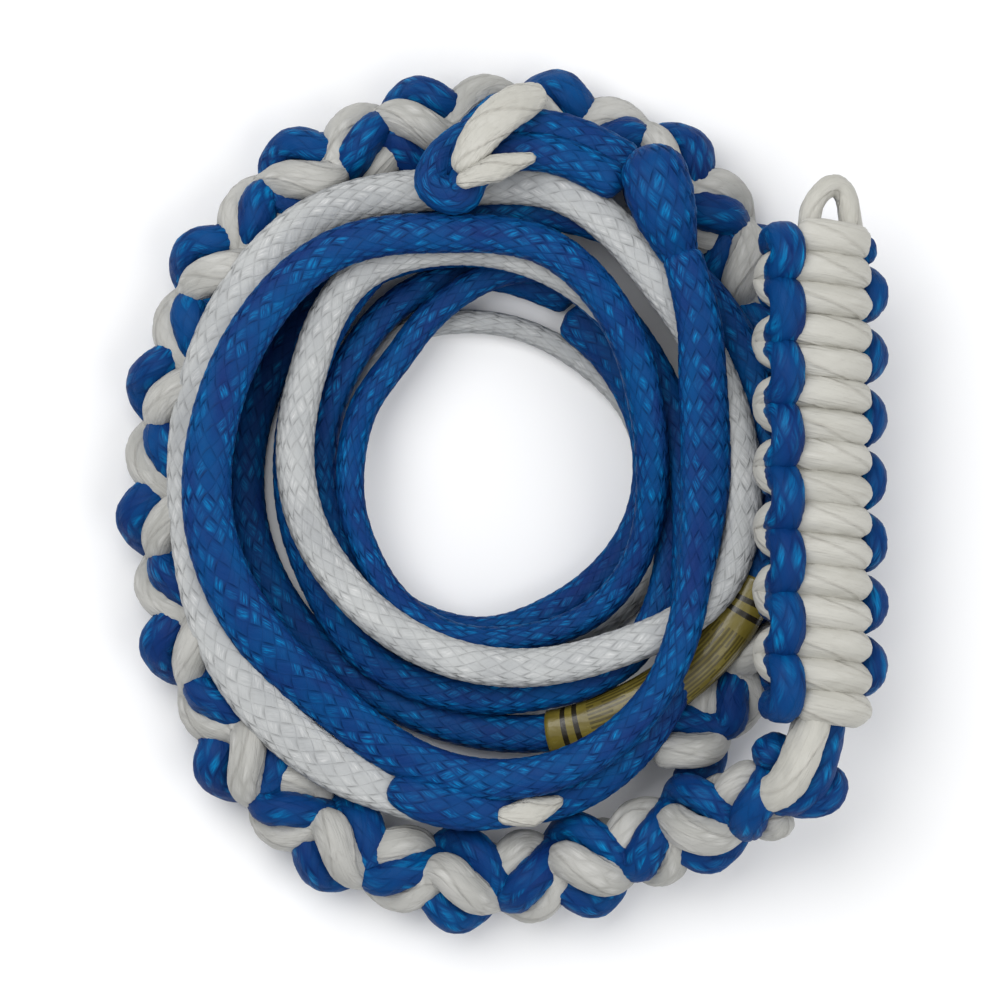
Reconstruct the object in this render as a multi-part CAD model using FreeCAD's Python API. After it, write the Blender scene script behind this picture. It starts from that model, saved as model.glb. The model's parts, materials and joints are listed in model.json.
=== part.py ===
"""Tow rope handle for wake surfing: a woven grip, a thick knotted rope behind it, and a hollow-braid tow
line wound into a flat coil, whose boat loop holds the coil together.

Millimetres and degrees.  The rope lies on a floor at z = 0, +Z is up, and the origin is the bottom centre of
the whole bundle.  The grip lies along Y on the +X side, propped on the knotted rope that runs under it.
"""
import FreeCAD, Part
import math
import os

os.makedirs("parts", exist_ok=True)
V = FreeCAD.Vector
UP = V(0, 0, 1)

# ---------------------------------------------------------------- driving dimensions
# The grip: two core legs side by side, wrapped by a white strand that crosses the front and a blue strand
# that crosses the back, one crossing of each for every bar.
bar_count = 16
bar_pitch = 10.2
wrap_d = 7.8
core_d = 5.6
strand_gap = 0.25
grip_roll = 30.0
grip_x = 104.0
grip_bottom_y = -74.0
grip_z = 49.5

# The tow eye: a bight of white rope at the top of the grip.
eye_d = 7.0
eye_length = 15.5
eye_width = 11.0

# The neck, where the grip bends away from the knotted rope.
neck_length = 9.0
neck_tail = 12.0
neck_clearance = 0.4

# The knotted rope: four strands that zigzag, each on its own side of a square.
knot_strand_d = 12.0
knot_side = 10.0
knot_swing = 8.0
knot_pitch = 20.5

# The tow line, wound into a ring: its outer edge and its hole, as middle x, middle y, half x and half y.
line_d = 16.0
coil_lower_edge = (-8, 8, 82, 98)
coil_upper_edge = (-16, 8, 90, 98)
coil_hole = (0, 14, 50, 62)
coil_lower_top = 34.0
coil_upper_top = 48.0
coil_rounding = 6.0
coil_clearance = 0.5
crossing_d = 13.0

# The boat loop, its throat knot and the strand that ties it down.
loop_rope_d = 13.0
loop_gap = 0.4
throat_d = 24.0
throat_length = 26.0
throat_rounding = 7.0
tie_d = 11.0

# The label sleeve and its bands, shrunk onto the line.
sleeve_wall = 0.6
sleeve_overhang = 14.0
band_wall = 0.3
band_width = 1.4
band_space = 3.2
band_inset = 5.0

# Splices and rope ends.
splice_d = 14.0
splice_tail_d = 8.0
tie_tail_d = 9.0
cut_end_d = 13.0


# ---------------------------------------------------------------- ropes as round tubes
def unit(v):
    return V(v).normalize()


def rope_wire(points, largest_radius):
    """Straight runs between the points, joined by arcs that are tangent to both runs."""
    points = [V(*p) for p in points]
    edges = []
    radii = []
    start = points[0]
    for before, corner, after in zip(points, points[1:], points[2:]):
        back = before - corner
        on = after - corner
        half_turn = (math.pi - back.getAngle(on)) / 2
        radius = min(largest_radius, 0.45 * min(back.Length, on.Length) / math.tan(half_turn))
        cut = radius * math.tan(half_turn)
        first = corner + unit(back) * cut
        last = corner + unit(on) * cut
        inward = unit(unit(back) + unit(on))
        middle = corner + inward * (radius / math.cos(half_turn) - radius)
        edges.append(Part.LineSegment(start, first).toShape())
        edges.append(Part.Arc(first, middle, last).toShape())
        radii.append(radius)
        start = last
    edges.append(Part.LineSegment(start, points[-1]).toShape())
    return Part.Wire(edges), radii


def rope(points, diameter, bend=5.0):
    """A round rope along the points, bent no tighter than the arcs that fit between its runs."""
    wire, radii = rope_wire(points, bend * diameter)
    along = unit(V(*points[1]) - V(*points[0]))
    profile = Part.Wire([Part.Circle(V(*points[0]), along, diameter / 2).toShape()])
    solid = wire.makePipeShell([profile], True, False)
    section = math.pi * diameter ** 2 / 4
    tightest = min(radii) / diameter if radii else 0
    return solid, tightest, solid.Volume / (section * wire.Length), wire.Length


def save(name, shape):
    shape.exportStep("parts/" + name + ".step")
    print(name, "solids", len(shape.Solids), "volume", round(shape.Volume), "valid", shape.isValid())


def save_rope(name, points, diameter, place=None, round_ends=(), bend=5.0):
    solid, tightest, fill, length = rope(points, diameter, bend)
    for end in round_ends:
        solid = solid.fuse(Part.makeSphere(diameter / 2, V(*points[end])))
    if place:
        solid.Placement = place
    save(name, solid)
    print("   length", round(length), "tightest arc", round(tightest, 2), "diameters, fill", round(fill, 4))
    return solid


# ---------------------------------------------------------------- the grip, in its own frame
# x across the grip, y from its bottom to its top, z out of its front.
grip_length = bar_count * bar_pitch
core_x = (core_d + strand_gap) / 2
white_x = core_x + (core_d + wrap_d) / 2 + strand_gap
blue_x = white_x + wrap_d + strand_gap
front_z = (core_d + wrap_d) / 2 + strand_gap
under_z = -front_z / 2
back_z = under_z - wrap_d - strand_gap
grip_place = FreeCAD.Placement(
    V(grip_x, grip_bottom_y, grip_z), FreeCAD.Rotation(V(0, 1, 0), grip_roll)
)
hinge_y = -neck_length
neck_outer_x = core_x + (core_d + wrap_d) / 2 + strand_gap


def bar_y(bar):
    return grip_length - (bar + 0.5) * bar_pitch


def white_wrap():
    """Crosses the front at every bar and turns behind the edge between bars."""
    points = []
    for bar in range(bar_count):
        side = 1 if bar % 2 == 0 else -1
        y = bar_y(bar)
        if bar == 0:
            points.append((-side * white_x, y, front_z))
        points.append((side * white_x, y, front_z))
        if bar < bar_count - 1:
            points.append((side * white_x, y, under_z))
            points.append((side * white_x, bar_y(bar + 1), under_z))
            points.append((side * white_x, bar_y(bar + 1), front_z))
    return points[:-1] + [(-neck_outer_x, bar_y(bar_count - 1), front_z)]


def blue_wrap():
    """Crosses the back at every bar and turns in front of the edge between bars."""
    points = [(blue_x, bar_y(0), front_z), (blue_x, bar_y(0), back_z)]
    for bar in range(bar_count):
        side = -1 if bar % 2 == 0 else 1
        points.append((side * blue_x, bar_y(bar), back_z))
        if bar < bar_count - 1:
            points.append((side * blue_x, bar_y(bar), front_z))
            points.append((side * blue_x, bar_y(bar + 1), front_z))
            points.append((side * blue_x, bar_y(bar + 1), back_z))
    return points


def grip():
    for name, x in (("core_leg_blue", -core_x), ("core_leg_white", core_x)):
        run = [(x, grip_length, 0), (x, hinge_y, 0)]
        save_rope(name, run, core_d, grip_place, round_ends=(1,))
    save_rope("wrap_strand_white", white_wrap(), wrap_d, grip_place)
    save_rope("wrap_strand_blue", blue_wrap(), wrap_d, grip_place)
    for name, x in (("neck_strand_white", -neck_outer_x), ("neck_strand_blue", neck_outer_x)):
        run = [(x, wrap_d / 4, 0), (x, hinge_y, 0)]
        save_rope(name, run, wrap_d, grip_place, round_ends=(1,))


def tow_eye():
    """The bight swings about its two round feet, just above the grip's top bar."""
    foot = grip_length + eye_d / 2 + neck_clearance
    half = eye_width / 2
    top = foot + eye_length
    run = [(-half, foot, 0), (-half, top, 0), (half, top, 0), (half, foot, 0)]
    save_rope("tow_eye", run, eye_d, grip_place, round_ends=(0, 3))


# ---------------------------------------------------------------- the knotted rope
# Its centreline, from the grip's neck round the bundle and back under the grip.
knot_line = [
    (98, -100, 42), (86, -107, 33), (64, -115, 22), (34, -122, 17), (6, -126, 16), (-21, -126, 16),
    (-45, -119, 16), (-67, -106, 16), (-84, -88, 16), (-96, -65, 16), (-105, -39, 16), (-110, -10, 16),
    (-110, 20, 16), (-105, 49, 16), (-94, 76, 16), (-76, 99, 16), (-53, 115, 16), (-27, 124, 16),
    (0, 127, 16), (25, 124, 16), (47, 115, 16), (66, 100, 16), (80, 80, 16), (88, 55, 16),
    (92, 28, 16), (93, 0, 16), (91, -26, 16), (85, -49, 16), (73, -68, 16), (57, -82, 16),
]


def knot_levels():
    """Places one knot apart along the centreline, each with its outward and upward directions."""
    curve = Part.BSplineCurve()
    curve.interpolate([V(*p) for p in knot_line])
    length = curve.length()
    count = int(length / knot_pitch)
    levels = []
    for level in range(count + 1):
        at = curve.parameterAtDistance(level * length / count)
        along = unit(V(*curve.tangent(at)[0]))
        outward = unit(UP.cross(along)) * -1
        levels.append((curve.value(at), outward, along.cross(outward) * -1))
    print("knotted rope", round(length), "mm,", count, "knots")
    return levels


def knot_strand(levels, side):
    """The strand on one side of the square swings from one corner to the other, knot by knot."""
    points = []
    for number, (centre, outward, upward) in enumerate(levels):
        swing = knot_swing if number % 2 == 0 else -knot_swing
        across, rise = (
            (swing, knot_side), (knot_side, -swing), (-swing, -knot_side), (-knot_side, swing)
        )[side]
        points.append(tuple(centre + outward * across + upward * rise))
    return points


def knotted_rope():
    levels = knot_levels()
    necks = (neck_outer_x, core_x, -core_x, -neck_outer_x)
    names = ("knot_strand_blue_top", "knot_strand_white_outer", "knot_strand_blue_under",
             "knot_strand_white_inner")
    for side, name in enumerate(names):
        meet = hinge_y - wrap_d / 2 - neck_clearance
        start = grip_place.multVec(V(necks[side], meet, 0))
        below = grip_place.multVec(V(necks[side], meet - neck_tail, 0))
        save_rope(name, [tuple(start), tuple(below)] + knot_strand(levels, side)[1:], knot_strand_d)


# ---------------------------------------------------------------- the coil of tow line
sleeve_line = [(13, -78, 40), (32, -70, 40), (50, -62, 40), (63, -52, 40), (70, -38, 40), (73, -20, 40)]
splice_line = [(-42, -94, 14), (-24, -98, 14), (-6, -99, 14), (14, -98, 14), (36, -94, 14)]
crossing_line = [(-38, 56, 15), (-16, 60, 15), (4, 57, 15), (22, 50, 15), (36, 37, 15), (46, 20, 15),
                 (54, -2, 15)]
cut_end_line = [(19, 76, 26), (24, 67, 26), (29, 57, 26)]


def oval(edge, bottom, height):
    """An upright oval drum."""
    x, y, half_x, half_y = edge
    if half_x > half_y:
        ellipse = Part.Ellipse(V(x, y, bottom), half_x, half_y)
    else:
        ellipse = Part.Ellipse(V(x, y + half_y, bottom), V(x - half_x, y, bottom), V(x, y, bottom))
    return Part.Face(Part.Wire([ellipse.toShape()])).extrude(V(0, 0, height))


def coil_ring(edge, bottom, top, rounding):
    ring = oval(edge, bottom, top - bottom).cut(oval(coil_hole, bottom, top - bottom))
    rims = [e for e in ring.Edges if len(e.Vertexes) == 1 and abs(e.BoundBox.ZMin - rounding[0]) < 0.01
            and e.BoundBox.ZLength < 0.01]
    return ring.makeFillet(rounding[1], rims)


def around(points, diameter):
    """The room that a rope of this diameter needs where it lies in the coil."""
    first = V(*points[0])
    last = V(*points[-1])
    start = first - unit(V(*points[1]) - first) * coil_clearance
    end = last + unit(last - V(*points[-2])) * coil_clearance
    run = [tuple(start)] + points[1:-1] + [tuple(end)]
    return rope(run, diameter + 2 * coil_clearance)[0]


def coil():
    knot_room = around(knot_line[1:], 2 * (knot_side + knot_swing / 3 + knot_strand_d / 2))
    sleeve_d = line_d + 2 * (sleeve_wall + band_wall)
    lower = coil_ring(coil_lower_edge, 0, coil_lower_top, (0, coil_rounding))
    upper = coil_ring(coil_upper_edge, coil_lower_top, coil_upper_top, (coil_upper_top, coil_rounding))
    for taken in (knot_room, around(sleeve_run(), sleeve_d), around(splice_line, splice_d)):
        lower = lower.cut(taken)
        upper = upper.cut(taken)
    lower = lower.cut(around(crossing_line, crossing_d)).cut(around(cut_end_line, cut_end_d))
    save("white_line_coil", largest(lower))
    save("blue_line_coil", largest(upper))
    save_rope("white_line_crossing", crossing_line, crossing_d)
    save_rope("blue_line_cut_end", cut_end_line, cut_end_d)


def largest(shape):
    return max(shape.Solids, key=lambda solid: solid.Volume)


def sleeve_run():
    """The stretch of line that carries the sleeve, with a little bare line past each end of it."""
    first = V(*sleeve_line[0])
    last = V(*sleeve_line[-1])
    before = first - unit(V(*sleeve_line[1]) - first) * sleeve_overhang
    after = last + unit(last - V(*sleeve_line[-2])) * sleeve_overhang
    return [tuple(before)] + sleeve_line[1:-1] + [tuple(after)]


def band(end, inward, from_end):
    """One ring round the sleeve, across the line's direction there."""
    along = unit(inward - end)
    foot = end + along * from_end
    inside = line_d / 2 + sleeve_wall
    ring = Part.makeCylinder(inside + band_wall, band_width, foot, along)
    return ring.cut(Part.makeCylinder(inside, band_width, foot, along))


def label_sleeve():
    save_rope("blue_line_sleeved_run", sleeve_run(), line_d)
    outer = rope(sleeve_line, line_d + 2 * sleeve_wall)[0]
    save("label_sleeve", outer.cut(rope(sleeve_run(), line_d)[0]))
    bands = []
    for end, inward in ((0, 1), (-1, -2)):
        for number in range(2):
            bands.append(band(V(*sleeve_line[end]), V(*sleeve_line[inward]),
                              band_inset + number * band_space))
    save("sleeve_bands", Part.makeCompound(bands))


# ---------------------------------------------------------------- the boat loop and its tie
throat_at = (51, 99, 47)
throat_along = (0.48, -0.88, 0)
loop_line = [(43, 108, 47), (31, 115, 47), (18, 120, 47), (4, 121, 47), (-9, 118, 47), (-18, 108, 51),
             (-20, 95, 57)]
tie_line = [(12, 130, 50), (4, 126, 59), (-5, 119, 61), (-12, 108, 62), (-15, 97, 66)]


def spindle(start, end, diameter, tip=0.25):
    """A short strand end, thick in its middle and tapered at both ends."""
    start = V(*start)
    span = V(*end) - start
    along = unit(span)
    third = span.Length / 3
    thin = diameter * tip / 2
    body = Part.makeCone(thin, diameter / 2, third, start, along)
    body = body.fuse(Part.makeCylinder(diameter / 2, third, start + along * third, along))
    return body.fuse(Part.makeCone(diameter / 2, thin, third, start + along * 2 * third, along))


def boat_loop():
    """One rope: out along the route on one side, round the eye, and back on the other."""
    out = []
    back = []
    apart = (loop_rope_d + loop_gap) / 2
    for number, point in enumerate(loop_line):
        before = V(*loop_line[max(number - 1, 0)])
        after = V(*loop_line[min(number + 1, len(loop_line) - 1)])
        side = unit((after - before).cross(UP)) * apart
        out.append(tuple(V(*point) + side))
        back.append(tuple(V(*point) - side))
    save_rope("boat_loop", out + back[::-1], loop_rope_d)
    knot = Part.makeCylinder(throat_d / 2, throat_length,
                             V(*throat_at) - unit(V(*throat_along)) * (throat_length / 2),
                             unit(V(*throat_along)))
    rims = [e for e in knot.Edges if isinstance(e.Curve, Part.Circle)]
    save("throat_knot", knot.makeFillet(throat_rounding, rims))
    save_rope("tie_strand", tie_line, tie_d)
    save("tie_strand_tail", spindle((-13, 106, 72), (11, 111, 64), tie_tail_d))


def splice():
    save_rope("splice_sleeve", splice_line, splice_d)
    save("splice_tail", spindle((-11, -99, 24), (16, -103, 22), splice_tail_d))


def main():
    grip()
    tow_eye()
    knotted_rope()
    coil()
    label_sleeve()
    boat_loop()
    splice()


main()
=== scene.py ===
"""A coiled tow rope: a knotted handle rope with its grip, the two-colour line and the boat loop.

Everything is in metres. The line lies in loose turns that run clockwise, laid one on another.
"""
import json
import math

import bpy
import numpy as np
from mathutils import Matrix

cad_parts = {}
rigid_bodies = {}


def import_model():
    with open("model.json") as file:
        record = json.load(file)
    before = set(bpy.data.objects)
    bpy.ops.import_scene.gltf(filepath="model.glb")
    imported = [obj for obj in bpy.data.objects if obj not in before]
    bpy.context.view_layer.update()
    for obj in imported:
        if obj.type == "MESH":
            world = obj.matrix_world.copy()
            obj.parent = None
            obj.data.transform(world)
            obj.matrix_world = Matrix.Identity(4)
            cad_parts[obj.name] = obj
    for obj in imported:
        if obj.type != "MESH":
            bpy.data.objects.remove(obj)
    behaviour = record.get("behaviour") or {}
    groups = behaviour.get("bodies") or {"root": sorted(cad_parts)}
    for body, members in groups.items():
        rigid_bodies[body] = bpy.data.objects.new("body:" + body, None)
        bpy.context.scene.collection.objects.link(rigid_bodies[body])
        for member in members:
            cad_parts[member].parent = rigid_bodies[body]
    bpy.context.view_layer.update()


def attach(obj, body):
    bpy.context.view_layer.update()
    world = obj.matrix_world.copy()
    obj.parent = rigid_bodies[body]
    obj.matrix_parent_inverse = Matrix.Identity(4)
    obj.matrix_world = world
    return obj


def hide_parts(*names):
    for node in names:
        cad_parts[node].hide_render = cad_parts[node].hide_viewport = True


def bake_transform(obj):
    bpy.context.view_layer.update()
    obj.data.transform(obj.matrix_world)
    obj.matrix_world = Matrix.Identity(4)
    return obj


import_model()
UP = np.array([0.0, 0.0, 1.0])

# ---------------------------------------------------------------- sizes
line_thick = 0.0096  # the hollow line lies flattened
line_plait = 0.0075  # one plait along the line
knot_strand_d = 0.0122
loop_rope_d = 0.0128
grip_strand_d = 0.0106
strand_plait = 0.0090  # one plait along the grip's strands

# The grip's own frame: x across it, y from its bottom to its top, z out of its front.
grip_foot = np.array([0.104, -0.074, 0.0495])
grip_roll = math.radians(30)
bar_count = 16
bar_pitch = 0.0102
grip_length = bar_count * bar_pitch
neck_hinge_y = -0.009
neck_bend = 0.012  # the length of neck about the hinge

# ---------------------------------------------------------------- the camera
seen_width = 0.330
camera_far = 2.4
sensor = 36.0  # in millimetres, as the lens is

view = bpy.data.cameras.new("camera")
view.sensor_width = sensor
view.lens = sensor * (camera_far - 0.030) / seen_width
view.clip_end = 20
camera = bpy.data.objects.new("camera", view)
camera.location = (-0.0008, -0.0002, camera_far)
bpy.context.scene.collection.objects.link(camera)
bpy.context.scene.camera = camera


# ---------------------------------------------------------------- lines through space
def unit(v):
    return v / np.linalg.norm(v, axis=-1, keepdims=True)


def read_spline(points, steps=12):
    """A smooth open spline with these control points, as the points that it passes."""
    data = bpy.data.curves.new("route", "CURVE")
    data.dimensions = "3D"
    data.resolution_u = steps
    spline = data.splines.new("NURBS")
    spline.points.add(len(points) - 1)
    for place, point in zip(spline.points, points):
        place.co = (*point, 1)
    spline.order_u = 3
    spline.use_endpoint_u = True
    holder = bpy.data.objects.new("route", data)
    mesh = bpy.data.meshes.new_from_object(holder)
    line = np.array([v.co for v in mesh.vertices])
    bpy.data.meshes.remove(mesh)
    bpy.data.curves.remove(data)
    return line


def distances(line):
    return np.concatenate([[0], np.cumsum(np.linalg.norm(np.diff(line, axis=0), axis=1))])


def evenly(line, step):
    """The same line with points a step apart."""
    along = distances(line)
    at = np.linspace(0, along[-1], max(3, round(along[-1] / step) + 1))
    return np.stack([np.interp(at, along, line[:, axis]) for axis in range(3)], axis=1)


def headings(line):
    return unit(np.gradient(line, axis=0))


def lying_sides(line):
    """Sideways directions of a rope that lies flat."""
    return unit(np.cross(headings(line), UP))


def carried_sides(line):
    """Sideways directions carried along the line without twist."""
    along = headings(line)
    side = np.cross(along[0], UP)
    sides = []
    for heading in along:
        side = side - heading * np.dot(side, heading)
        side = side / np.linalg.norm(side)
        sides.append(side)
    return np.array(sides)


def wander(length, seed, reach, wave):
    """A slow seeded drift, one number for each of so many samples."""
    rng = np.random.default_rng(seed)
    knots = rng.uniform(-reach, reach, max(3, int(length / wave) + 2))
    at = np.linspace(0, len(knots) - 1, length)
    low = at.astype(int).clip(0, len(knots) - 2)
    part = at - low
    part = part * part * (3 - 2 * part)
    return knots[low] * (1 - part) + knots[low + 1] * part


# ---------------------------------------------------------------- plaited rope as a mesh
plait_steps = 5  # mesh steps in one plait, both along the rope and round it
usual_height = 0.75  # the plait height that lies on the rope's nominal surface


def plait_height(u, v):
    """How high the plait stands, 0 to 1: u counts plaits around the rope, v along it."""
    left, right = u + v, u - v
    over = (np.floor(left) + np.floor(right)) % 2
    a, b = left % 1, right % 1
    across = np.where(over < 0.5, a, b) * 2 - 1
    along = np.where(over < 0.5, b, a) * 2 - 1
    return np.sqrt(np.clip(1 - across ** 2, 0, 1)) * (1 - 0.55 * along ** 2)


def link(name, data, finish, body):
    """Puts a mesh in the scene as a piece, on its body if it is given one."""
    piece = bpy.data.objects.new(name, data)
    bpy.context.scene.collection.objects.link(piece)
    data.materials.append(finish)
    if body:
        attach(piece, body)
    return piece


def rope_mesh(name, line, sides, wide, thick, around, relief, full, blunt):
    """A closed plaited tube along the line: its width and thickness may vary along it.

    The plaits are counted by the line's own points, plait_steps to each. A low full makes the
    section squarer. A blunt tube has flat ends, and any other has round ones.
    """
    count = len(line)
    along = headings(line)
    up = np.cross(sides, along)
    ring = around * plait_steps
    angle = np.arange(ring) * 2 * math.pi / ring - math.pi / 2
    half_wide = np.broadcast_to(np.asarray(wide, float) / 2, (count,))[:, None]
    half_thick = np.broadcast_to(np.asarray(thick, float) / 2, (count,))[:, None]
    path = distances(line)
    left = np.minimum(path, path[-1] - path)
    cap = np.sqrt(np.clip(1 - (1 - np.clip(left / half_thick[:, 0], 0, 1)) ** 2, 0.02, 1))[:, None]
    if blunt:
        cap = 1.0
    c, s = np.cos(angle)[None, :], np.sin(angle)[None, :]
    x = np.sign(c) * np.abs(c) ** full * half_wide
    y = np.sign(s) * np.abs(s) ** full * half_thick
    nx, ny = c / half_wide, s / half_thick
    size = np.sqrt(nx ** 2 + ny ** 2)
    u = np.arange(ring)[None, :] / plait_steps
    v = np.arange(count)[:, None] / plait_steps
    lift = (plait_height(u, v) - usual_height) * relief
    x = (x + nx / size * lift) * cap
    y = (y + ny / size * lift) * cap
    points = line[:, None, :] + sides[:, None, :] * x[:, :, None] + up[:, None, :] * y[:, :, None]
    points = np.concatenate([points.reshape(-1, 3), line[:1], line[-1:]])
    row, column = np.meshgrid(np.arange(count - 1), np.arange(ring), indexing="ij")
    after = (column + 1) % ring
    quads = np.stack([row * ring + column, row * ring + after,
                      (row + 1) * ring + after, (row + 1) * ring + column], axis=-1).reshape(-1, 4)
    k = np.arange(ring)
    first = np.stack([np.full(ring, count * ring), (k + 1) % ring, k], axis=-1)
    base = (count - 1) * ring
    last = np.stack([np.full(ring, count * ring + 1), base + k, base + (k + 1) % ring], axis=-1)
    mesh = bpy.data.meshes.new(name)
    mesh.from_pydata(points.tolist(), [], quads.tolist() + first.tolist() + last.tolist())
    flat_u, flat_v = column.reshape(-1) / plait_steps, row.reshape(-1) / plait_steps
    one = 1 / plait_steps
    corner_u = np.stack([flat_u, flat_u + one, flat_u + one, flat_u], axis=-1).reshape(-1)
    corner_v = np.stack([flat_v, flat_v, flat_v + one, flat_v + one], axis=-1).reshape(-1)
    cap_u = np.zeros(6 * ring)
    cap_v = np.concatenate([np.zeros(3 * ring), np.full(3 * ring, (count - 1) / plait_steps)])
    layer = mesh.uv_layers.new(name="plait")
    places = np.stack([np.concatenate([corner_u, cap_u]),
                       np.concatenate([corner_v, cap_v])], axis=-1)
    layer.data.foreach_set("uv", places.reshape(-1))
    mesh.polygons.foreach_set("use_smooth", np.ones(len(mesh.polygons), bool))
    mesh.update()
    return mesh


def along_line(sizes, count):
    """A size for each of so many samples: from one size, a list or (share, size) pairs."""
    sizes = np.asarray(sizes, float)
    if sizes.ndim == 2:
        return np.interp(np.linspace(0, 1, count), sizes[:, 0], sizes[:, 1])
    if sizes.ndim == 1:
        return np.interp(np.linspace(0, 1, count), np.linspace(0, 1, len(sizes)), sizes)
    return sizes


def plaited(name, line, finish, body, wide, thick, around=12, plait=line_plait,
            relief=0.0006, roll=0.0, lying=True, full=0.82, blunt=False):
    """A plaited rope piece along a line, rolled about it by an angle that may vary."""
    line = evenly(line, plait / plait_steps)
    sides = lying_sides(line) if lying else carried_sides(line)
    wide, thick = along_line(wide, len(line)), along_line(thick, len(line))
    if callable(roll):
        roll = roll(len(line))
    turn = np.broadcast_to(np.asarray(roll, float), (len(line),))[:, None]
    up = np.cross(sides, headings(line))
    sides = sides * np.cos(turn) + up * np.sin(turn)
    mesh = rope_mesh(name, line, sides, wide, thick, around, relief, full, blunt)
    return link(name, mesh, finish, body), line


# ---------------------------------------------------------------- shader building
class Number:
    """A number in a shader. Arithmetic on it adds Math nodes to the same material."""

    def __init__(self, finish, socket):
        self.finish = finish
        self.socket = socket

    def maths(self, operation, *values):
        return Number(self.finish, self.finish.node("ShaderNodeMath", {"operation": operation},
                                                    dict(enumerate(values))))

    def __add__(self, other):
        return self.maths("ADD", self, other)

    __radd__ = __add__

    def __sub__(self, other):
        return self.maths("SUBTRACT", self, other)

    def __rsub__(self, other):
        return self.maths("SUBTRACT", other, self)

    def __mul__(self, other):
        return self.maths("MULTIPLY", self, other)

    __rmul__ = __mul__

    def __pow__(self, other):
        return self.maths("POWER", self, other)

    def __mod__(self, other):
        return self.maths("FLOORED_MODULO", self, other)

    def __gt__(self, other):
        return self.maths("GREATER_THAN", self, other)

    def floor(self):
        return self.maths("FLOOR", self)

    def clamped(self):
        return self.finish.number("ShaderNodeClamp", {}, {0: self})


class Finish:
    """One material, built node by node."""

    def __init__(self, name, **shader):
        self.material = bpy.data.materials.new(name)
        self.material.use_nodes = True
        self.tree = self.material.node_tree
        self.shader = self.tree.nodes["Principled BSDF"]
        for socket, value in shader.items():
            self.shader.inputs[socket.replace("_", " ")].default_value = value

    def node(self, kind, settings=None, sockets=None, out=0):
        """Adds a node: its settings first, then its sockets' values or links. Gives one output."""
        made = self.tree.nodes.new(kind)
        for name, value in (settings or {}).items():
            setattr(made, name, value)
        for name, value in (sockets or {}).items():
            self.feed(made.inputs[name], value)
        return made.outputs[out]

    def feed(self, socket, value):
        if isinstance(value, Number):
            value = value.socket
        if isinstance(value, bpy.types.NodeSocket):
            self.tree.links.new(value, socket)
        elif socket.type == "RGBA":
            socket.default_value = (*value, 1)
        else:
            socket.default_value = value

    def number(self, kind, settings=None, sockets=None, out=0):
        return Number(self, self.node(kind, settings, sockets, out))

    def vector(self, x, y, z=0.0):
        return self.node("ShaderNodeCombineXYZ", {}, {0: x, 1: y, 2: z})

    def parts(self, vector):
        """The three numbers in a vector."""
        split = self.node("ShaderNodeSeparateXYZ", {}, {0: vector}).node
        return [Number(self, socket) for socket in split.outputs]

    def plaits(self):
        """Where a point is in the plait: plaits round the rope, and plaits along it."""
        return self.parts(self.node("ShaderNodeUVMap", {"uv_map": "plait"}))[:2]

    def noise(self, place, scale, detail=2.0, rough=0.5):
        return self.number("ShaderNodeTexNoise", {}, {
            "Vector": place, "Scale": scale, "Detail": detail, "Roughness": rough})

    def between(self, share, low, high):
        """A colour part of the way from one to another."""
        return self.node("ShaderNodeMix", {"data_type": "RGBA"},
                         {0: share, 6: low, 7: high}, out=2)

    def show(self, colour, rough, bump, depth):
        self.feed(self.shader.inputs["Base Color"], colour)
        self.feed(self.shader.inputs["Roughness"], rough)
        normal = self.node("ShaderNodeBump", {},
                           {"Height": bump, "Distance": depth, "Strength": 1.0})
        self.feed(self.shader.inputs["Normal"], normal)
        return self.material


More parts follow.
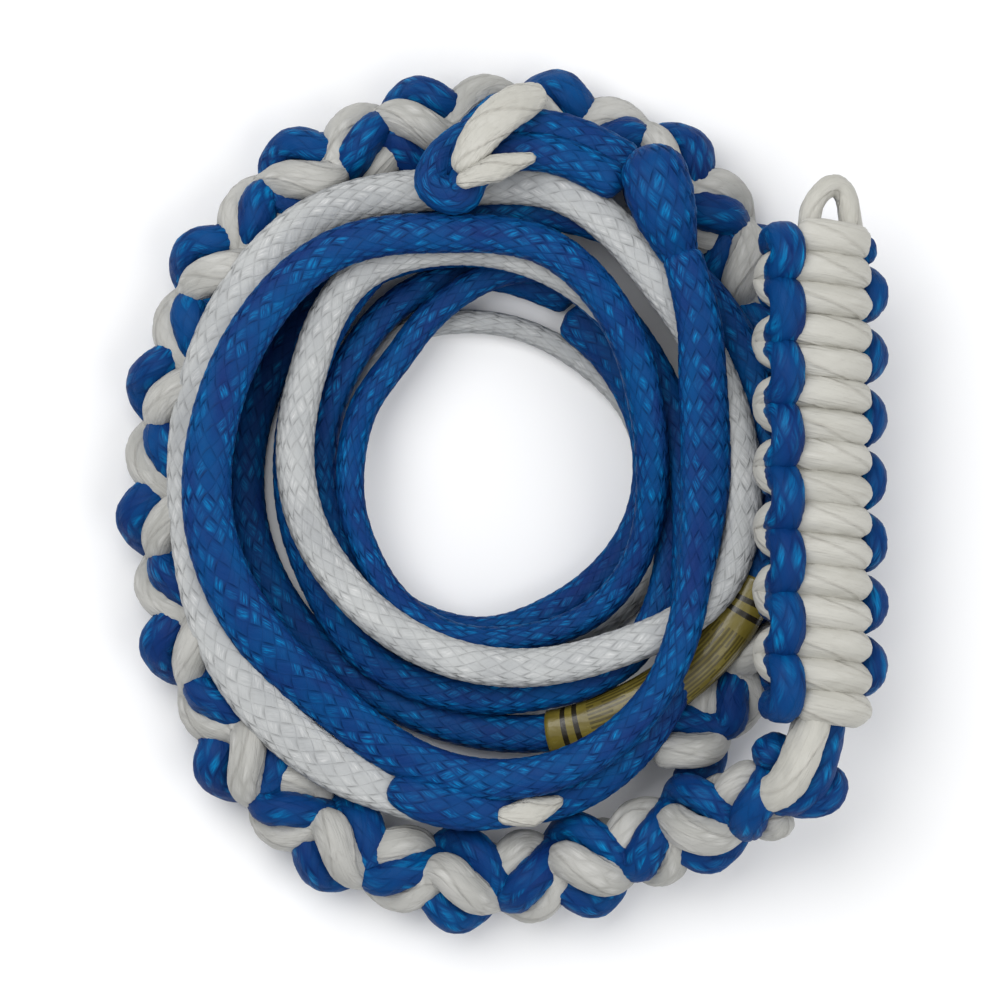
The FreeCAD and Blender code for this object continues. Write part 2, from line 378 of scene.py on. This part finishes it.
def plait_finish(name, gap, deep, body, highlight_colour, rough, highlight_amount, shaded_slits, weave, fibres, **shader):
    """Plaited yarns of many filaments: weave is how much the plaits stand out from one another.
    The gap colour is painted shade in the valleys, slits and furrows between plaits, and the
    brightest colour is a painted highlight along the crests of some plaits.
    """
    finish = Finish(name, **shader)
    u, v = finish.plaits()
    left, right = u + v, u - v
    over = (left.floor() + right.floor()) % 2
    under = 1 - over
    across = (left % 1) * under + (right % 1) * over
    along = (right % 1) * under + (left % 1) * over
    each = finish.number("ShaderNodeTexWhiteNoise", {"noise_dimensions": "2D"},
                         {"Vector": finish.vector(left.floor(), right.floor())}, out=0)
    side = across * 2 - 1
    run = along * 2 - 1
    window = (1 - run * run).clamped()
    height = ((1 - side * side) ** 0.5) * (1 - 0.55 * run * run)
    thread = finish.vector(across * 8 + each * 40, along * 1.1 + each * 17, each * 9)
    filament = finish.noise(thread, 1.0, 3.0, 0.6)
    yarn = finish.noise(finish.vector(u * 5 + v * 0.8, v * 0.45), 1.0, 3.0, 0.6)
    hair = filament * weave + yarn * (1 - weave)
    lay = (u * 0.5 + v * 0.3) % 1
    groove = (1 - (lay * (1 - lay) * 14).clamped()) * (1 - weave)
    patch = finish.noise(finish.vector(u * 0.45, v * 0.25), 1.0, 2.0)
    lane = (1 - ((across - 0.55) * 2.4) ** 2).clamped()
    streak = ((hair - 0.42) * 3.4).clamped()
    # lit: a painted highlight along the crest of some plaits, in the brightest colour.
    lit = (lane * window * streak * ((each - 0.35) * 2.2).clamped() * highlight_amount).clamped()
    # slit: painted shade in the slit along one edge of each plait; it also sinks the bump there.
    slit = ((1 - across * 4.5).clamped() * window * (0.25 + 0.75 * each) * shaded_slits).clamped()
    base = finish.between((patch * 2.6 - 0.8).clamped(), deep, body)
    # Painted shade in the gap colour: in the low valleys between plaits, then in the slits.
    base = finish.between((1 - height * 2.2).clamped() * shaded_slits * 0.30, base, gap)
    base = finish.between(slit, base, gap)
    # Painted shade in the furrows between twisted yarns, in the gap colour.
    furrow_shade = ((0.45 - hair) * 5.0).clamped() * (1 - weave) + groove * 0.7
    base = finish.between(furrow_shade * 0.5, base, gap)
    colour = finish.between(lit, base, highlight_colour)
    relief = height * 0.45 * weave + hair * fibres - slit * 0.4 * weave - groove * 0.6
    return finish.show(colour, rough - 0.1 * streak, relief, 0.0006)


# In each finish, gap is painted shade between the plaits, and the brightest colour is a painted
# highlight along their crests.
blue_line = plait_finish(
    "blue plaited line", gap=(0.0, 0.004, 0.030), deep=(0.005, 0.028, 0.140),
    body=(0.001, 0.060, 0.208), highlight_colour=(0.0, 0.240, 0.560),
    rough=0.48, highlight_amount=1.0, shaded_slits=0.70, weave=0.85, fibres=0.5, Specular_IOR_Level=0.08)
blue_strand = plait_finish(
    "blue twisted strand", gap=(0.0, 0.008, 0.050), deep=(0.004, 0.025, 0.130),
    body=(0.001, 0.056, 0.200), highlight_colour=(0.0, 0.230, 0.520),
    rough=0.48, highlight_amount=1.2, shaded_slits=0.50, weave=0.55, fibres=0.8, Specular_IOR_Level=0.08)
white_line = plait_finish(
    "white plaited line", gap=(0.13, 0.13, 0.13), deep=(0.36, 0.37, 0.375),
    body=(0.47, 0.48, 0.475), highlight_colour=(0.64, 0.64, 0.63),
    rough=0.55, highlight_amount=1.0, shaded_slits=0.48, weave=0.80, fibres=0.4, Specular_IOR_Level=0.25)
white_strand = plait_finish(
    "white twisted strand", gap=(0.30, 0.28, 0.24), deep=(0.45, 0.44, 0.395),
    body=(0.52, 0.51, 0.465), highlight_colour=(0.62, 0.61, 0.57),
    rough=0.58, highlight_amount=0.4, shaded_slits=0.06, weave=0.15, fibres=0.9, Specular_IOR_Level=0.25)
# The white strands' colours made darker where they are knotted: painted shade on the knots.
shaded_white_knots = plait_finish(
    "white knotted strand", gap=(0.19, 0.18, 0.16), deep=(0.35, 0.348, 0.325),
    body=(0.46, 0.455, 0.43), highlight_colour=(0.60, 0.595, 0.57),
    rough=0.58, highlight_amount=0.9, shaded_slits=0.20, weave=0.25, fibres=0.9, Specular_IOR_Level=0.25)


# ---------------------------------------------------------------- the turns of line
coil_middle = np.array([-0.0107, 0.0064])
clock_step = 24  # degrees from one radius in the lists below to the next
halves = 2  # control points for each clock step
# Each turn's distance from the middle, clock step by clock step, in millimetres.
blue_radii = [
    102, 83, 77, 80, 93, 100, 97, 87, 86, 87, 86, 87, 88, 81, 81, 72, 63, 60, 61, 60, 55, 52, 47,
    42, 40, 40, 43, 47, 61, 75, 74, 68, 66, 72, 79, 74, 71, 68, 61, 59, 60, 65, 75, 86, 93, 98,
    100, 99, 100, 94, 88, 81, 76, 75, 75, 75, 76, 78, 77, 76, 72, 70, 72, 79, 98, 110, 107,
]
white_radii = [
    107, 104, 98, 91, 91, 96, 101, 96, 100, 90, 88, 90, 90, 74, 65, 59, 55, 54, 56, 59, 65, 77,
    77, 75, 72, 69, 66, 67, 64, 58, 55, 53, 48, 45, 45, 50, 54, 53, 53, 54, 58, 61, 76, 104,
]
short_radii = [64, 62, 60, 58, 54, 51, 51, 49, 48, 48, 49, 52, 57, 65, 69, 67]


def turns(first_angle, radii):
    """Control points of loose clockwise turns, given the radius at each clock step."""
    radii = np.array(radii) / 1000
    step = np.arange((len(radii) - 1) * halves + 1) / halves
    whole = step.astype(int).clip(0, len(radii) - 2)
    part = step - whole
    before, after = radii[(whole - 1).clip(0)], radii[(whole + 2).clip(None, len(radii) - 1)]
    near, far = radii[whole], radii[whole + 1]
    middle = (9 * (near + far) - before - after) / 16
    radius = np.where(part == 0, near, middle)
    radius = radius / math.cos(math.radians(clock_step / halves / 2))
    angle = np.radians(first_angle - clock_step * step)
    return np.stack([coil_middle[0] + radius * np.cos(angle),
                     coil_middle[1] + radius * np.sin(angle), 0 * angle], axis=1)


# The knotted rope's centreline, from the grip's neck round the coil and back under the grip.
knot_route = [
    (0.0985, -0.088, 0.044), (0.0925, -0.0965, 0.040), (0.077, -0.1015, 0.031),
    (0.057, -0.110, 0.022), (0.032, -0.120, 0.017), (0.006, -0.126, 0.016),
    (-0.021, -0.126, 0.016), (-0.045, -0.119, 0.016), (-0.067, -0.106, 0.016),
    (-0.084, -0.088, 0.016), (-0.096, -0.065, 0.016), (-0.105, -0.039, 0.016),
    (-0.110, -0.010, 0.016), (-0.110, 0.020, 0.016), (-0.105, 0.049, 0.016),
    (-0.094, 0.076, 0.016), (-0.076, 0.099, 0.016), (-0.053, 0.115, 0.016),
    (-0.027, 0.124, 0.016), (0.000, 0.127, 0.016), (0.025, 0.124, 0.016), (0.047, 0.115, 0.016),
    (0.066, 0.100, 0.016), (0.080, 0.080, 0.016), (0.088, 0.055, 0.016), (0.092, 0.028, 0.016),
    (0.093, 0.000, 0.016), (0.091, -0.026, 0.016), (0.085, -0.049, 0.016), (0.073, -0.068, 0.016),
    (0.058, -0.083, 0.016), (0.042, -0.095, 0.016),
]
knot_line = evenly(read_spline(knot_route), 0.001)

blue_points = turns(48, blue_radii)
white_points = turns(-96, white_radii)
short_points = turns(60, short_radii)
ropes = {"blue": blue_points, "white": white_points, "short": short_points}

# Stretches of line in the order in which they were laid down, as clock steps along each rope.
laying = [
    ("white", 24, 43), ("short", 0, 15), ("blue", 25, 34), ("blue", 17, 25), ("blue", 45, 66),
    ("blue", 34, 45), ("white", 0, 24), ("blue", 0, 17),
]
pile_wide = 0.0125  # how near two lines pass before one has to lie on the other
pile_thick = 0.0085
knot_reach = 0.0205  # the same for a line and the knotted rope's middle
knot_top = 0.0185
ramp = 0.40  # the steepest rise of a rope that climbs over another
fine_steps = 6  # places that are tried between two control points


def laid_height(places, laid):
    """How high a rope's middle has to lie at each place to rest on what is already there."""
    height = np.full(len(places), line_thick / 2)
    for x, y, z, reach, thick in laid:
        gap = np.hypot(places[:, None, 0] - x[None, :], places[:, None, 1] - y[None, :]) / reach
        rise = z[None, :] + thick * np.sqrt(np.clip(1 - gap ** 2, 0, 1))
        height = np.maximum(height, np.where(gap < 1, rise, 0).max(axis=1))
    return height


def lay_all():
    """Gives every control point its height: each stretch rests on those laid before it."""
    laid = [(knot_line[:, 0], knot_line[:, 1], knot_line[:, 2], knot_reach, knot_top)]
    for name, first, last in laying:
        points = ropes[name]
        first, last = first * halves, last * halves
        stretch = points[first:last + 1]
        fine = np.linspace(0, len(stretch) - 1, (len(stretch) - 1) * fine_steps + 1)
        at = np.arange(len(stretch))
        places = np.stack([np.interp(fine, at, stretch[:, axis]) for axis in (0, 1)], axis=1)
        needed = laid_height(places, laid)
        heights = np.array([needed[max(0, fine_steps * k - 4):fine_steps * k + 5].max()
                            for k in range(len(stretch))])
        spans = np.linalg.norm(np.diff(stretch[:, :2], axis=0), axis=1) * ramp
        for k in range(1, len(heights)):
            heights[k] = max(heights[k], heights[k - 1] - spans[k - 1])
        for k in range(len(heights) - 2, -1, -1):
            heights[k] = max(heights[k], heights[k + 1] - spans[k])
        points[first:last + 1, 2] = np.maximum(points[first:last + 1, 2], heights)
        z = np.interp(fine, at, heights)
        laid.append((places[:, 0], places[:, 1], z, pile_wide, pile_thick))


lay_all()
for points in ropes.values():
    for _ in range(2):
        points[1:-1, 2] = (points[:-2, 2] + 2 * points[1:-1, 2] + points[2:, 2]) / 4

blue_path = read_spline(blue_points, 6)
white_path = read_spline(white_points, 6)
short_path = read_spline(short_points, 6)


def declare(line):
    """Takes every fourth point of the line and its last one, and does nothing with them."""
    line[::4].tolist() + [line[-1].tolist()]


def sway(seed, reach=0.35, wave=60):
    """A rope's slow seeded roll, in radians."""
    return lambda count: wander(count, seed, reach, wave)


def by_clock(points, marks):
    """Sizes given at clock steps, as (share of the length, size) pairs."""
    along = distances(points)
    last = len(along) - 1
    return [(along[min(step * halves, last)] / along[-1], size / 1000) for step, size in marks]


# How wide each rope looks where it lies, in millimetres at clock steps.
blue_wide = by_clock(blue_points, [
    (0, 13), (1, 16), (2, 17), (3, 12), (4, 11), (5, 13), (6, 14.5), (8, 17.5), (10, 16),
    (12, 13.5), (16, 12), (18, 9.5), (24, 9), (26, 9.5), (34, 11), (40, 12.5), (46, 12.5),
    (48, 13), (52, 12.5), (66, 12.5)])
white_wide = by_clock(white_points, [
    (0, 15), (2, 18), (4, 19.5), (6, 14.5), (8, 13.5), (10, 13), (12, 12), (15, 13),
    (20, 12.5), (24, 11), (28, 10), (34, 9), (38, 7.5), (44, 7.5)])
short_wide = by_clock(short_points, [(0, 15), (1, 13), (2, 10.5), (15, 10.5)])
white_thick = by_clock(white_points, [(0, 9), (30, 9), (36, 7.5), (44, 7.5)])

blue_piece, blue_run = plaited("blue_line", blue_path, blue_line, "coil",
                               blue_wide, line_thick, roll=sway(1))
white_piece, white_run = plaited("white_line", white_path, white_line, "coil",
                                 white_wide, white_thick, roll=sway(2))
short_piece, short_run = plaited("blue_cut_end", short_path, blue_line, "coil",
                                 short_wide, line_thick, roll=sway(3))
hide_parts("blue_line_coil", "blue_line_sleeved_run")
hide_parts("white_line_coil", "white_line_crossing")
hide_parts("blue_line_cut_end")
declare(white_run)
declare(short_run)


# ---------------------------------------------------------------- the label sleeve
sleeve_plaits = 12.4  # how many plait lengths the sleeve covers
sleeve_start = (0.0840, -0.0256)  # it starts where the line passes nearest to this


def sleeve_finish():
    """Olive vinyl with double end bands and plain ruled lines."""
    finish = Finish("olive vinyl sleeve", Specular_IOR_Level=0.6)
    u, v = finish.plaits()
    rows = u * 3.0
    line = (rows % 1 > 0.45) * (v > 2.5) * (1 - (v > sleeve_plaits - 2.3))
    gaps = finish.noise(finish.vector(rows.floor() * 7.3, v * 1.1), 1.0, 0.0)
    line = line * (gaps > 0.36)
    near = v.maths("MINIMUM", v, sleeve_plaits - v)
    band = ((near > 0.95) * (1 - (near > 1.2)) + (near > 1.55) * (1 - (near > 1.8))).clamped()
    wear = finish.noise(finish.vector(u * 0.9, v * 0.7), 1.0, 3.0)
    base = finish.between((wear * 2.2 - 0.6).clamped(),
                          (0.130, 0.100, 0.014), (0.215, 0.175, 0.032))
    base = finish.between(line * 0.70, base, (0.040, 0.030, 0.006))
    base = finish.between(band * 0.95, base, (0.010, 0.008, 0.006))
    return finish.show(base, 0.20 + wear * 0.12, wear, 0.0003)


def label_sleeve():
    """A smooth tube round the stretch of blue line that carries the label."""
    along = distances(blue_path)
    late = along > along[-1] / 2
    gap = np.where(late, np.hypot(*(blue_path[:, :2] - sleeve_start).T), 1.0)
    first = along[gap.argmin()]
    run = blue_path[(along >= first) & (along <= first + sleeve_plaits * line_plait)]
    return plaited("vinyl_sleeve", run, sleeve_finish(), "coil",
                   (0.0140, 0.0160, 0.0172, 0.0172, 0.0150), 0.0118, relief=0.0, blunt=True,
                   full=0.95)[0]


vinyl = label_sleeve()
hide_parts("label_sleeve", "sleeve_bands")
declare(blue_run)


# ---------------------------------------------------------------- the knotted rope
def knot_frames():
    """The directions out from the coil and up, at each point of the knotted rope's line."""
    along = headings(knot_line)
    outward = unit(np.cross(along, UP))
    return outward, np.cross(outward, along)


knot_out, knot_up = knot_frames()
# How far the square of four strands is rolled, at places along the rope, in degrees.
knot_rolls = [(0.00, 30), (0.20, 35), (0.30, 45), (0.62, 50), (1.00, 30)]
knot_count = 37
swing = 0.0076  # how far a strand reaches to either side of its face
face = 0.0076  # how far each face lies from the rope's middle
lump = 0.0012  # how much every second knot stands out


def knot_point(level, side, across, out):
    """A point at a level of the knots, on one side of the square."""
    at = np.clip(level / knot_count, 0, 1) * (len(knot_line) - 1)
    low = int(min(at, len(knot_line) - 2))
    part = at - low
    middle = knot_line[low] * (1 - part) + knot_line[low + 1] * part
    share, turn = zip(*knot_rolls)
    angle = math.radians(np.interp(level / knot_count, share, turn) + 90 * side)
    normal = knot_up[low] * math.cos(angle) + knot_out[low] * math.sin(angle)
    tangent = knot_out[low] * math.cos(angle) - knot_up[low] * math.sin(angle)
    return middle + tangent * across + normal * out


def knot_strand_points(side, seed, first_level):
    """One strand of the crown knots: over its own side, round the corner, and back."""
    rng = np.random.default_rng(seed)
    points = []
    for level in range(knot_count):
        way = 1 if level % 2 == 0 else -1
        jitter = rng.uniform(-0.0012, 0.0012, 8)
        if level < first_level:
            continue
        reach = swing + lump * way
        rise = face + lump * way
        for ahead, across, out, shake in (
            (-0.35, 0.30 * swing * way, rise + 0.0010, (0.0, jitter[0])),
            (-0.05, reach * way, rise, (jitter[1], jitter[2])),
            (0.15, (reach + 0.0020) * way, rise - 0.0040, (0.0, jitter[3])),
            (0.35, (reach - 0.0015) * way, face - 0.0070, (0.0, jitter[4])),
        ):
            points.append(knot_point(level + ahead, side, across + shake[0], out + shake[1]))
    floor_gap = knot_strand_d * 0.60
    return [(*p[:2], max(p[2], floor_gap)) for p in points]


def knotted_rope():
    """Its four strands: the two white ones come out of the grip's neck a knot later."""
    nodes = ("knot_strand_blue_top", "knot_strand_white_outer", "knot_strand_blue_under",
             "knot_strand_white_inner")
    for side, node in enumerate(nodes):
        finish, slot, first_level, relief = (
            (blue_strand, "blue_strand", 0, 0.0005) if "blue" in node
            else (shaded_white_knots, "white_strand", 1, 0.0003))
        line = read_spline(knot_strand_points(side, 20 + side, first_level), 5)
        strand, run = plaited(
            node.replace("knot_strand", "knotted"), line, finish, "coil",
            knot_strand_d * 1.06, knot_strand_d * 0.92, around=8, plait=0.0070, relief=relief,
            lying=False, roll=sway(30 + side, 0.5, 25))
        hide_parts(node)
        declare(run)


knotted_rope()


# ---------------------------------------------------------------- the grip
def on_grip(x, y, z):
    """A point of the grip's own frame, in the model's."""
    c, s = math.cos(grip_roll), math.sin(grip_roll)
    return grip_foot + np.array([x * c + z * s, y, -x * s + z * c])


def bar_y(bar):
    """Where a bar of the grip lies, counted from the top."""
    return grip_length - (bar + 0.5) * bar_pitch


slant = 0.12  # how much the bars fall from left to right
edge_height = 0.006  # the height on the grip over which its strands have their full width


def white_wrap_points():
    """Lies across the front at each bar, and turns behind the edge between bars."""
    points = []
    for bar in range(bar_count):
        way = 1 if bar % 2 == 0 else -1
        y = bar_y(bar) + 0.001
        across = [(-0.0130, 0.0050), (-0.0075, 0.0098), (-0.0010, 0.0112), (0.0055, 0.0104),
                  (0.0100, 0.0060)]
        for x, z in across[::way]:
            points.append(on_grip(x, y - slant * x, z))
        if bar < bar_count - 1:
            edge, deep_edge = (0.0122, 0.0110) if way > 0 else (-0.0178, -0.0150)
            below = bar_y(bar + 1) + 0.001
            points.append(on_grip(edge, y - slant * edge - 0.0005, -0.0010))
            points.append(on_grip(deep_edge, (y + below) / 2 - slant * edge, -0.0095))
            points.append(on_grip(edge, below - slant * edge + 0.0005, -0.0010))
    return points


def blue_wrap_points():
    """Lies across the back at each bar, and bulges round the front of the edge between bars."""
    right = [(0.0175, -0.0070, 0.0010), (0.0192, -0.0020, -0.0005), (0.0182, 0.0030, -0.0030)]
    left = [(-0.0155, -0.0035, 0.0020), (-0.0178, 0.0055, 0.0022), (-0.0184, 0.0096, -0.0015)]
    points = []
    for bar in range(bar_count):
        at_left = bar % 2 == 0
        y = bar_y(bar) + 0.001
        if bar == 0:
            y -= 0.0035
            points += [on_grip(0.0150, y + 0.0030, 0.0030), on_grip(0.0180, y - 0.0010, -0.0010)]
        across = [(0.0130, -0.0090), (0.0, -0.0112), (-0.0130, -0.0090)]
        for x, z in across[::1 if at_left else -1]:
            points.append(on_grip(x, y - slant * x, z))
        if bar < bar_count - 1:
            below = bar_y(bar + 1) + 0.001
            bulge = left if at_left else right
            points += [on_grip(x, y - slant * x + rise, z) for x, z, rise in bulge]
            points += [on_grip(x, below - slant * x - rise, z) for x, z, rise in bulge[::-1]]
    return points


def grip():
    """The two working strands woven round the core legs."""
    for name, points, finish, slot, relief in (
        ("wrap_strand_white", white_wrap_points(), white_strand, "white_strand", 0.0003),
        ("wrap_strand_blue", blue_wrap_points(), blue_strand, "blue_strand", 0.0004),
    ):
        line = evenly(read_spline(points, 6), 0.001)
        height = (line - grip_foot) @ [math.sin(grip_roll), 0, math.cos(grip_roll)]
        wide = np.interp(height, [0, edge_height], [grip_strand_d * 0.95, grip_strand_d * 1.08])
        piece, _ = plaited(name.replace("strand_", ""), line, finish, "grip", wide,
                           wide * 0.95, around=6, plait=strand_plait, relief=relief, lying=False)
        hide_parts(name)


grip()


def necks():
    """The strands that run from the knotted rope up into the grip."""
    white = [(0.0840, -0.0975, 0.036), (0.0885, -0.0970, 0.047), (0.0930, -0.0930, 0.053),
             (0.0965, -0.0860, 0.057), (0.0995, -0.0770, 0.058), (0.1020, -0.0690, 0.057),
             on_grip(-0.0040, 0.012, 0.0050)]
    blue = [(0.0880, -0.0990, 0.040), (0.0955, -0.0985, 0.046), (0.1010, -0.0935, 0.049),
            (0.1035, -0.0850, 0.049), (0.1060, -0.0750, 0.048), on_grip(0.0040, 0.012, 0.0)]
    taper = (0.0100, 0.0122, 0.0132, 0.0134, 0.0128, 0.0120)
    for name, points, finish, slot in (("neck_white", white, white_strand, "white_strand"),
                                       ("neck_blue", blue, blue_strand, "blue_strand")):
        piece, _ = plaited(name, read_spline(points), finish, None, taper,
                           knot_strand_d * 0.9, around=6, plait=strand_plait, relief=0.0005,
                           lying=False)
        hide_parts(name.replace("neck_", "neck_strand_"))
        tuple(on_grip(0, neck_hinge_y - neck_bend / 2, 0))
        tuple(on_grip(0, neck_hinge_y + neck_bend / 2, 0))
        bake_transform(piece)


necks()


def tow_eye():
    """The bight of white rope above the last bar: one leg looks wider than the other."""
    route = [(-0.0065, -0.008, 0.006), (-0.0073, 0.001, 0.004), (-0.0045, 0.0085, 0.003),
             (0.0030, 0.0145, 0.002), (0.0088, 0.0115, 0.002), (0.0098, 0.002, 0.003),
             (0.0094, -0.008, 0.006)]
    points = [on_grip(x, grip_length + y, z) for x, y, z in route]
    wide = (0.0090, 0.0080, 0.0068, 0.0066, 0.0078, 0.0102, 0.0118)
    piece, _ = plaited("tow_eye_loop", read_spline(points), white_strand, "tow_eye",
                       wide, 0.0074, around=6, plait=0.0070, relief=0.0003,
                       lying=False)
    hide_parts("tow_eye")


tow_eye()

# ---------------------------------------------------------------- the boat loop
loop_route = np.array([
    (0.043, 0.108, 0.043), (0.031, 0.115, 0.042), (0.018, 0.120, 0.0415), (0.004, 0.121, 0.0415),
    (-0.009, 0.118, 0.042), (-0.0175, 0.1105, 0.0435), (-0.0205, 0.1035, 0.0445),
])
tie_route = [(0.013, 0.1330, 0.041), (0.005, 0.1300, 0.0515), (-0.004, 0.1230, 0.0530),
             (-0.0105, 0.1140, 0.0535), (-0.0135, 0.1060, 0.0515)]
tie_tail_route = [(-0.0150, 0.1030, 0.0560), (-0.003, 0.1085, 0.0565), (0.011, 0.1120, 0.0520)]
throat_route = [(0.0475, 0.1150, 0.045), (0.0492, 0.1085, 0.050), (0.0512, 0.1010, 0.0520),
                (0.0535, 0.0930, 0.0515), (0.0562, 0.0850, 0.0485), (0.0590, 0.0770, 0.0440)]


def loop_points():
    """One rope: out along the route on one side, round the eye, and back on the other."""
    heading = unit(np.gradient(loop_route, axis=0))
    side = unit(np.cross(heading, UP))
    apart = np.array([0.0015, 0.0015, 0.0015, 0.0015, 0.0020, 0.0030, 0.0030])[:, None]
    back = np.array([0.0065, 0.0065, 0.0065, 0.0065, 0.0070, 0.0080, 0.0085])[:, None]
    drop = UP * 0.002
    turn = side[-1] * 0.003
    eye = loop_route[-1] + heading[-1] * 0.0022 - side[-1] * 0.0028
    return [*(loop_route + side * apart - drop), eye + turn, eye - turn,
            *(loop_route - side * back + drop)[::-1]]


def loose_end(name, points, wide, thick):
    """A short free strand of white that narrows at its ends."""
    return plaited(name, read_spline(points), white_strand, "coil", wide, thick,
                   around=8, plait=0.0052, relief=0.0004)[0]


def boat_loop():
    """The doubled loop, the lump at its throat and the white strand that ties it."""
    piece, run = plaited("boat_loop_rope", read_spline(loop_points()), blue_line, "coil",
                         loop_rope_d, line_thick, roll=sway(7, 0.25))
    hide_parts("boat_loop")
    declare(run)
    knot, _ = plaited("throat_lump", read_spline(throat_route), blue_line, "coil",
                      (0.014, 0.0215, 0.0225, 0.0200, 0.0150, 0.0110),
                      (0.012, 0.016, 0.0165, 0.0145, 0.011, 0.009), around=15, relief=0.0008)
    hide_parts("throat_knot")
    tie = loose_end("tie_strand_lobe", tie_route,
                    (0.008, 0.013, 0.0135, 0.012, 0.009), 0.008)
    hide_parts("tie_strand")
    tail = loose_end("tie_strand_end", tie_tail_route,
                     (0.005, 0.0095, 0.003), (0.005, 0.007, 0.003))
    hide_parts("tie_strand_tail")


boat_loop()

# ---------------------------------------------------------------- the splice
splice_route = [(-0.0370, -0.0945, 0.0265), (-0.0290, -0.0985, 0.0320),
                (-0.0170, -0.1015, 0.0330), (-0.0030, -0.1025, 0.0310),
                (0.0120, -0.1010, 0.0270)]
splice_tail_route = [(-0.002, -0.1040, 0.0340), (0.009, -0.1045, 0.0350),
                     (0.020, -0.0985, 0.0330)]


def splice():
    """The blue braid that swallows the white line, and the white tail that comes out of it."""
    piece, _ = plaited("splice_cover", read_spline(splice_route), blue_line, "coil",
                       (0.010, 0.0145, 0.0150, 0.0135, 0.010), 0.010)
    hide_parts("splice_sleeve")
    tail = loose_end("splice_end", splice_tail_route,
                     (0.005, 0.0105, 0.003), (0.005, 0.0075, 0.003))
    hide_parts("splice_tail")


splice()


# ---------------------------------------------------------------- the core legs
def core_finish(name, body, dark, glint, **shader):
    """Straight yarns that run along the grip, as its two core legs show between the bars."""
    finish = Finish(name, **shader)
    x, y, z = finish.parts(finish.node("ShaderNodeTexCoord", out=3))
    yarn = finish.noise(finish.vector(x * 900, y * 60, z * 900), 1.0, 3.0, 0.6)
    patch = finish.noise(finish.vector(x * 120, y * 90, z * 120), 1.0, 2.0)
    base = finish.between((yarn * 3.0 - 1.0).clamped(), dark, body)
    base = finish.between((patch * 3.0 - 1.4).clamped() * 0.5, base, glint)
    return finish.show(base, 0.62 - patch * 0.15, yarn, 0.0004)


def core_legs():
    """The kept CAD legs inside the grip get yarn finishes in their own material slots."""
    blue_core = core_finish(
        "blue core yarns", (0.001, 0.056, 0.200), (0.004, 0.018, 0.095), (0.0, 0.150, 0.380),
        Specular_IOR_Level=0.08)
    white_core = core_finish(
        "white core yarns", (0.52, 0.51, 0.465), (0.33, 0.31, 0.27), (0.60, 0.59, 0.55),
        Specular_IOR_Level=0.25)
    for node, finish in (("core_leg_blue", blue_core), ("core_leg_white", white_core)):
        for slot in bpy.data.objects[node].material_slots:
            slot.link = "OBJECT"
            slot.material = finish


core_legs()


# ---------------------------------------------------------------- the floor and the light
def studio_floor():
    """A pale floor under the rope, which is no part of it."""
    finish = Finish("pale floor", Base_Color=(0.92, 0.92, 0.92, 1), Roughness=0.9)
    reach = 3.0
    corners = [(-reach, -reach, 0), (reach, -reach, 0), (reach, reach, 0), (-reach, reach, 0)]
    mesh = bpy.data.meshes.new("floor")
    mesh.from_pydata(corners, [], [(0, 1, 2, 3)])
    mesh.materials.append(finish.material)
    floor = bpy.data.objects.new("floor", mesh)
    bpy.context.scene.collection.objects.link(floor)


def softbox(name, place, size, power):
    """A square lamp that points at the middle of the rope."""
    lamp = bpy.data.lights.new(name, "AREA")
    lamp.size = size
    lamp.energy = power
    holder = bpy.data.objects.new(name, lamp)
    holder.location = place
    aim = -np.array(place)
    holder.rotation_euler = (math.atan2(math.hypot(aim[0], aim[1]), -aim[2]), 0,
                             math.atan2(aim[0], -aim[1]) + math.pi)
    bpy.context.scene.collection.objects.link(holder)


def studio():
    """Soft even light from above, as for a catalogue."""
    studio_floor()
    world = bpy.data.worlds.new("studio")
    world.use_nodes = True
    backdrop = world.node_tree.nodes["Background"]
    backdrop.inputs["Color"].default_value = (0.97, 0.98, 1.0, 1)
    backdrop.inputs["Strength"].default_value = 0.55
    bpy.context.scene.world = world
    softbox("softbox", (-0.6, 0.7, 1.6), 1.5, 23)
    softbox("fill", (0.9, -0.4, 1.3), 1.2, 9)
    bpy.context.scene.view_settings.view_transform = "Standard"


studio()
